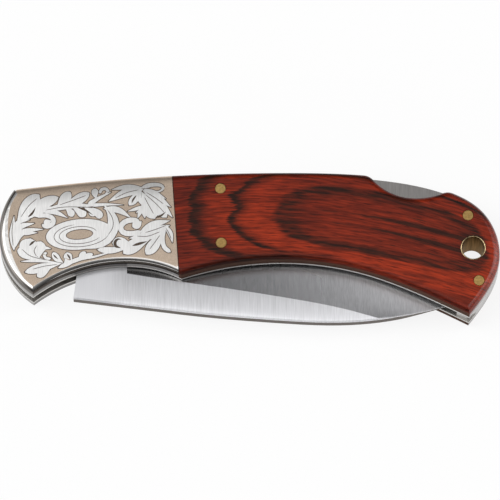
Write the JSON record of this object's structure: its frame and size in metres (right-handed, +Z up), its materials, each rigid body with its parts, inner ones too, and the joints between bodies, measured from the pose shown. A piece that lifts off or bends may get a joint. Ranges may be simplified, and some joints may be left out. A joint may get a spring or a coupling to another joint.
{
  "type": "folding pocket knife",
  "caption": "Lockback folding knife, closed: engraved metal bolsters, laminated wood scales, a pivoting blade and a spring-loaded lock bar.",
  "frame": {"origin": "centre of the closed knife's bounding box, at the bottom, on the surface that it lies on", "axes": "+X along the handle from the bolsters to the butt, +Y from the belly to the back, +Z up, through the knife's thickness"},
  "size_m": [0.1098, 0.0336, 0.0104],
  "materials": {
    "blade_steel": "satin ground",
    "lock_steel": "brushed",
    "spring_steel": "rolled",
    "spacer_steel": "brushed",
    "pin_steel": "ground",
    "liner_steel": "polished edges",
    "bolster_metal": "etched scrollwork with a polished rim",
    "wood_laminate": "dyed laminated wood, buffed to a soft gloss",
    "brass": "sanded flush"
  },
  "bodies": {
    "handle": {"front_liner": "liner_steel", "rear_liner": "liner_steel", "front_bolster": "bolster_metal", "rear_bolster": "bolster_metal", "front_scale": "wood_laminate", "rear_scale": "wood_laminate", "front_bolster_rivets": "pin_steel", "rear_bolster_rivets": "pin_steel", "front_scale_pin": "brass", "rear_scale_pin": "brass", "pivot_pin": "pin_steel", "front_pivot_washer": "brass", "rear_pivot_washer": "brass", "rocker_pin": "brass", "upper_butt_pin": "brass", "lower_butt_pin": "brass", "lanyard_tube": "brass", "butt_spacer": "spacer_steel", "lock_spring": "spring_steel"},
    "blade": {"blade": "blade_steel"},
    "lock_bar": {"lock_bar": "lock_steel"}
  },
  "joints": [
    {"name": "blade_pivot", "type": "hinge", "parent": "handle", "child": "blade", "pos_m": [-0.04283, 0.00128, 0.0052], "axis": [0, 0, 1], "range_deg": [-172, 0]},
    {"name": "lock_rock", "type": "hinge", "parent": "handle", "child": "lock_bar", "pos_m": [-0.00633, 0.01283, 0.0052], "axis": [0, 0, -1], "range_deg": [-1.5, 2.5], "stiffness_Nm_per_rad": 6, "deforming": ["lock_spring"]}
  ]
}
